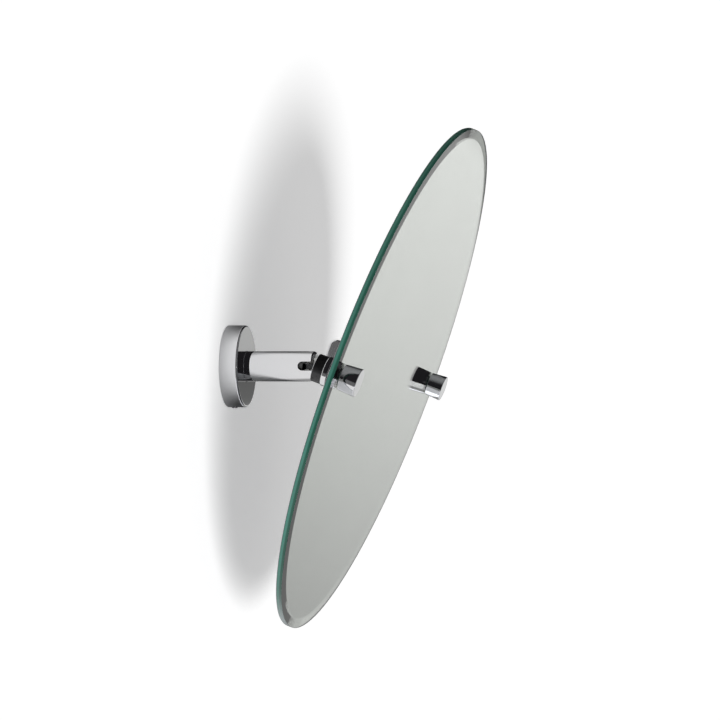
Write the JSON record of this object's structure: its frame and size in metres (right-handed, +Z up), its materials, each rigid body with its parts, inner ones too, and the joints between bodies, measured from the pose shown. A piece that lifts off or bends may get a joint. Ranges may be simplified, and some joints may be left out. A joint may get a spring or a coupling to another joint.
{
  "type": "shaving mirror",
  "caption": "Wall-mounted round bevelled shaving mirror clamped by two knobs to a tilting head on a short sliding, swivelling arm with a round wall flange.",
  "frame": {"origin": "centre of the wall plate's flat back face, on the wall", "axes": "+Z up, +Y into the wall, -Y along the arm into the room, +X along the wall and along the bar behind the glass"},
  "size_m": [0.35, 0.1692, 0.3299],
  "materials": {
    "polished_chrome": "polished",
    "zinc_plate": "cast and plated",
    "stainless_steel": "machined",
    "white_nylon": "moulded",
    "black_rubber": "moulded",
    "clear_plastic": "clear",
    "mirror_glass": "polished with a bevelled edge",
    "mirror_backing": "sprayed backing paint"
  },
  "bodies": {
    "wall_unit": {"wall_plate": "zinc_plate", "wall_screw_left": "stainless_steel", "wall_screw_right": "stainless_steel", "flange_cover": "polished_chrome", "flange_grub_screw": "stainless_steel", "slide_rod": "polished_chrome", "rod_screw": "stainless_steel", "stop_ring": "white_nylon", "friction_ring": "black_rubber"},
    "arm": {"arm_tube": "polished_chrome", "arm_bush": "white_nylon", "pan_pin": "stainless_steel", "pan_washer_upper": "white_nylon", "pan_washer_lower": "white_nylon"},
    "knuckle": {"knuckle": "polished_chrome"},
    "mirror_head": {"head_housing": "polished_chrome", "tilt_bolt": "stainless_steel", "tilt_nut": "stainless_steel", "tilt_washer_left": "white_nylon", "tilt_washer_right": "white_nylon", "head_grub_screw_left": "stainless_steel", "head_grub_screw_right": "stainless_steel", "mirror_glass": "mirror_glass", "mirror_backing": "mirror_backing", "cross_bar": "polished_chrome", "rear_post_left": "polished_chrome", "rear_collar_left": "polished_chrome", "rear_washer_left": "clear_plastic", "front_washer_left": "clear_plastic", "hole_sleeve_left": "clear_plastic", "clamp_stud_left": "stainless_steel", "front_knob_left": "polished_chrome", "rear_post_right": "polished_chrome", "rear_collar_right": "polished_chrome", "rear_washer_right": "clear_plastic", "front_washer_right": "clear_plastic", "hole_sleeve_right": "clear_plastic", "clamp_stud_right": "stainless_steel", "front_knob_right": "polished_chrome"}
  },
  "joints": [
    {"name": "arm_extend", "type": "slide", "parent": "wall_unit", "child": "arm", "axis": [0, -1, 0], "range_m": [0, 0.025]},
    {"name": "head_pan", "type": "hinge", "parent": "arm", "child": "knuckle", "pos_m": [0, -0.0565, 0], "axis": [0, 0, 1], "range_deg": [-30, 30]},
    {"name": "head_tilt", "type": "hinge", "parent": "knuckle", "child": "mirror_head", "pos_m": [0, -0.0838, 0], "axis": [1, 0, 0], "range_deg": [-50, 10]}
  ]
}
